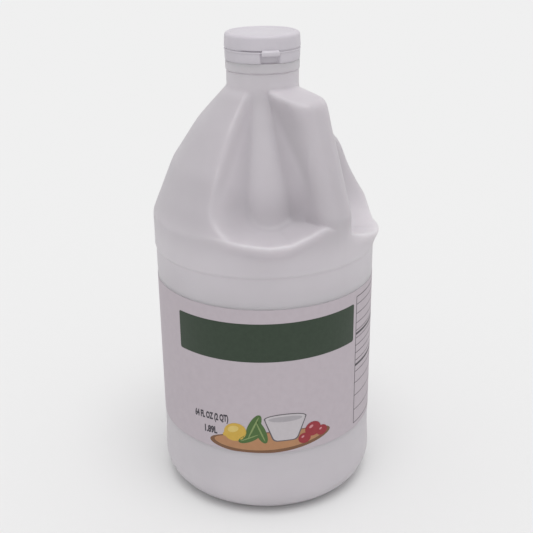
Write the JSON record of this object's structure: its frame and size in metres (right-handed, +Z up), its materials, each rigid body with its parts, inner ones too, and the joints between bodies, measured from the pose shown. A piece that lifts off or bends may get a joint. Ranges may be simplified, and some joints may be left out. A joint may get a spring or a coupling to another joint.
{
  "type": "vinegar bottle",
  "caption": "Filled round milky plastic vinegar bottle, shut, with a grip bar pressed into its shoulder, a snap-open cap and a wrap label.",
  "frame": {"origin": "middle of the base, on the surface that the foot ring stands on", "axes": "+Z up along the bottle's axis, -Y out of the front of the label, +X to the right of the label"},
  "size_m": [0.123, 0.1234, 0.2553],
  "materials": {
    "bottle_plastic": "milky, half matt",
    "label_paper": "coated paper, satin",
    "cap_plastic": "satin white"
  },
  "bodies": {
    "root": {"bottle": "bottle_plastic", "label": "label_paper", "cap_base": "cap_plastic", "cap_lid": "cap_plastic"}
  },
  "joints": []
}
